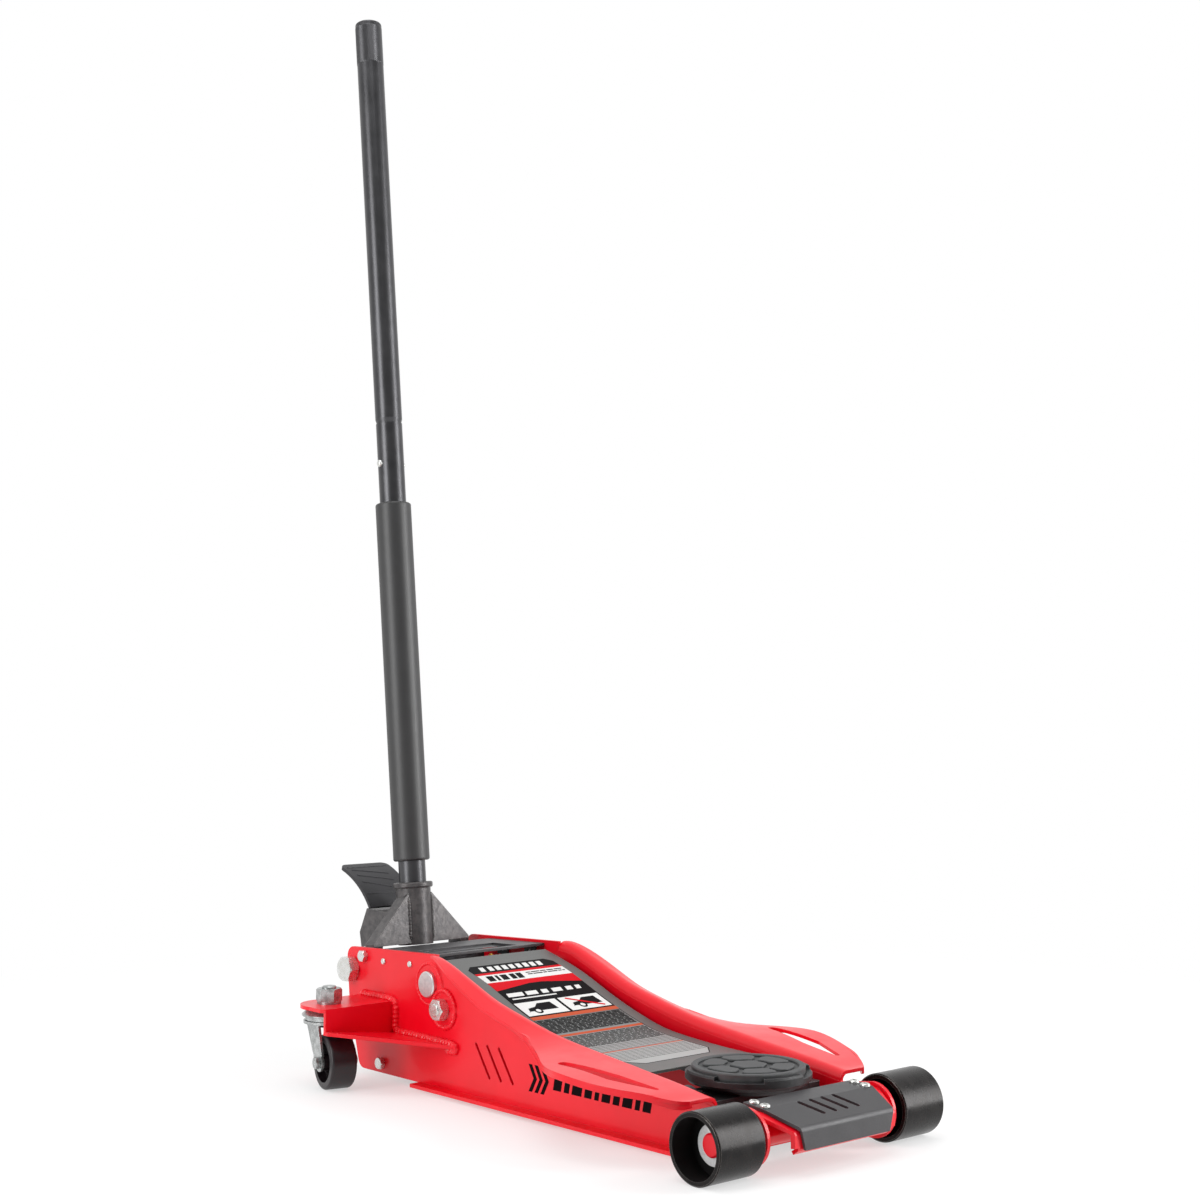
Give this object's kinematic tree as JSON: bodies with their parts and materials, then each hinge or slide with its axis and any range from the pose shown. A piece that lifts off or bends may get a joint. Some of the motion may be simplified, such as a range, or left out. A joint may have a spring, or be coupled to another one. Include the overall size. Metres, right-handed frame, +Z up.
{
  "type": "hydraulic floor jack",
  "caption": "Low-profile hydraulic trolley jack with steel rollers, swivel casters, parallel lift arm, round saddle, foot pedal and a padded two-piece pump handle.",
  "frame": {"origin": "centre of the whole jack's footprint box, on the floor, with the jack lowered and the handle upright", "axes": "+X towards the front rollers, +Y to the jack's left, +Z up"},
  "size_m": [0.8126, 0.374, 1.3016],
  "materials": {
    "red_paint": "gloss",
    "dark_paint": "satin",
    "yoke_paint": "satin",
    "tread_plastic": "matte",
    "zinc": "satin",
    "machined_steel": "machined",
    "cast_block": "cast",
    "seal_rubber": "matte",
    "brass": "machined",
    "roller_black": "semi-gloss",
    "cast_saddle": "satin",
    "pad_rubber": "satin",
    "handle_coat": "satin",
    "foam": "matte",
    "caster_plastic": "semi-gloss"
  },
  "bodies": {
    "chassis": {"axle_washers": "zinc", "caster_bracket_left": "red_paint", "caster_bracket_right": "red_paint", "caster_kingpins": "zinc", "caster_nuts": "zinc", "caster_race_cups": "zinc", "cylinder_tube": "machined_steel", "front_axle": "red_paint", "front_cover": "dark_paint", "front_cover_screws": "zinc", "front_cross_member": "red_paint", "gland_nut": "machined_steel", "link_nuts": "zinc", "link_studs": "zinc", "main_shaft": "zinc", "rear_cover": "dark_paint", "rear_cover_rivets": "zinc", "shaft_spacers": "zinc", "side_plate_left": "red_paint", "side_plate_right": "red_paint", "small_frame_bolts": "zinc", "tie_tube": "zinc", "valve_block": "cast_block", "yoke_pivot_bolts": "zinc"},
    "roller_left": {"front_roller_left": "roller_black"},
    "roller_right": {"front_roller_right": "roller_black"},
    "lift_arm": {"lift_arm": "dark_paint", "lift_arm_cover": "dark_paint", "grease_nipple": "brass", "crank_pin": "zinc"},
    "link_rods": {"link_rods": "dark_paint"},
    "saddle_bracket": {"saddle_bracket": "cast_saddle", "saddle_bracket_pins": "zinc"},
    "saddle": {"saddle_cup": "cast_saddle", "saddle_pad": "pad_rubber", "saddle_retaining_ring": "zinc"},
    "ram": {"ram": "machined_steel", "piston_seal": "seal_rubber", "ram_head": "machined_steel"},
    "handle_yoke": {"yoke_frame": "yoke_paint", "handle_socket": "yoke_paint", "pump_roller": "machined_steel", "pump_roller_pin": "machined_steel", "pedal_bracket": "yoke_paint", "foot_pedal": "tread_plastic"},
    "handle": {"handle_lower_tube": "handle_coat", "handle_foam_sleeve": "foam", "handle_upper_tube": "handle_coat", "handle_end_cap": "handle_coat"},
    "snap_button_left": {"snap_button_left": "zinc"},
    "snap_button_right": {"snap_button_right": "zinc"},
    "pump_plunger": {"pump_plunger": "machined_steel", "plunger_spring": "machined_steel"},
    "release_valve": {"release_valve": "machined_steel"},
    "caster_fork_left": {"caster_fork_left": "zinc", "caster_axle_left": "zinc"},
    "caster_fork_right": {"caster_fork_right": "zinc", "caster_axle_right": "zinc"},
    "caster_wheel_left": {"caster_wheel_left": "caster_plastic"},
    "caster_wheel_right": {"caster_wheel_right": "caster_plastic"}
  },
  "joints": [
    {"name": "roller_left_spin", "type": "hinge", "parent": "chassis", "child": "roller_left", "pos_m": [0.36129, 0.127, 0.033], "axis": [0, 1, 0], "continuous": true},
    {"name": "roller_right_spin", "type": "hinge", "parent": "chassis", "child": "roller_right", "pos_m": [0.36129, -0.127, 0.033], "axis": [0, 1, 0], "continuous": true},
    {"name": "lift", "type": "hinge", "parent": "chassis", "child": "lift_arm", "pos_m": [-0.12271, 0, 0.117], "axis": [0, -1, 0], "range_deg": [0, 65.5]},
    {"name": "link_swing", "type": "hinge", "parent": "chassis", "child": "link_rods", "pos_m": [-0.09571, 0, 0.093], "axis": [0, -1, 0], "range_deg": [-0.5, 66]},
    {"name": "saddle_level", "type": "hinge", "parent": "lift_arm", "child": "saddle_bracket", "pos_m": [0.26629, 0, 0.048], "axis": [0, -1, 0], "range_deg": [-66, 0.5]},
    {"name": "saddle_swivel", "type": "hinge", "parent": "saddle_bracket", "child": "saddle", "pos_m": [0.27829, 0, 0.05], "axis": [0, 0, 1], "continuous": true},
    {"name": "ram_slide", "type": "slide", "parent": "chassis", "child": "ram", "axis": [1, 0, 0], "range_m": [-0.0005, 0.0546]},
    {"name": "handle_pump", "type": "hinge", "parent": "chassis", "child": "handle_yoke", "pos_m": [-0.27471, 0, 0.1185], "axis": [0, -1, 0], "range_deg": [-5, 75]},
    {"name": "pump_stroke", "type": "slide", "parent": "chassis", "child": "pump_plunger", "axis": [1, 0, 0], "range_m": [-0.00227, 0.02701]},
    {"name": "handle_twist", "type": "hinge", "parent": "handle_yoke", "child": "handle", "pos_m": [-0.27371, 0, 0.138], "axis": [-0.0995, 0, 0.995], "range_deg": [0, 180]},
    {"name": "release_turn", "type": "hinge", "parent": "chassis", "child": "release_valve", "pos_m": [-0.25071, -0.016, 0.112], "axis": [-1, 0, 0], "range_deg": [-0.5, 180.5]},
    {"name": "snap_left", "type": "slide", "parent": "handle", "child": "snap_button_left", "axis": [0, -1, 0], "range_m": [0, 0.0032], "stiffness_N_per_m": 800},
    {"name": "snap_right", "type": "slide", "parent": "handle", "child": "snap_button_right", "axis": [0, 1, 0], "range_m": [0, 0.0032], "stiffness_N_per_m": 800},
    {"name": "caster_swivel_left", "type": "hinge", "parent": "chassis", "child": "caster_fork_left", "pos_m": [-0.22471, 0.155, 0.08], "axis": [0, 0, 1], "continuous": true},
    {"name": "caster_roll_left", "type": "hinge", "parent": "caster_fork_left", "child": "caster_wheel_left", "pos_m": [-0.20515, 0.15916, 0.03], "axis": [-0.2079, 0.9781, 0], "continuous": true},
    {"name": "caster_swivel_right", "type": "hinge", "parent": "chassis", "child": "caster_fork_right", "pos_m": [-0.22471, -0.155, 0.08], "axis": [0, 0, 1], "continuous": true},
    {"name": "caster_roll_right", "type": "hinge", "parent": "caster_fork_right", "child": "caster_wheel_right", "pos_m": [-0.20515, -0.15916, 0.03], "axis": [0.2079, 0.9781, 0], "continuous": true}
  ],
  "couplings": [
    {"joint": "link_swing", "follows": "lift", "ratio": 1},
    {"joint": "saddle_level", "follows": "lift", "ratio": -1},
    {"joint": "ram_slide", "follows": "lift", "m_per_rad": 0.047322},
    {"joint": "pump_stroke", "follows": "handle_pump", "m_per_rad": 0.020256},
    {"joint": "release_turn", "follows": "handle_twist", "ratio": 1}
  ]
}
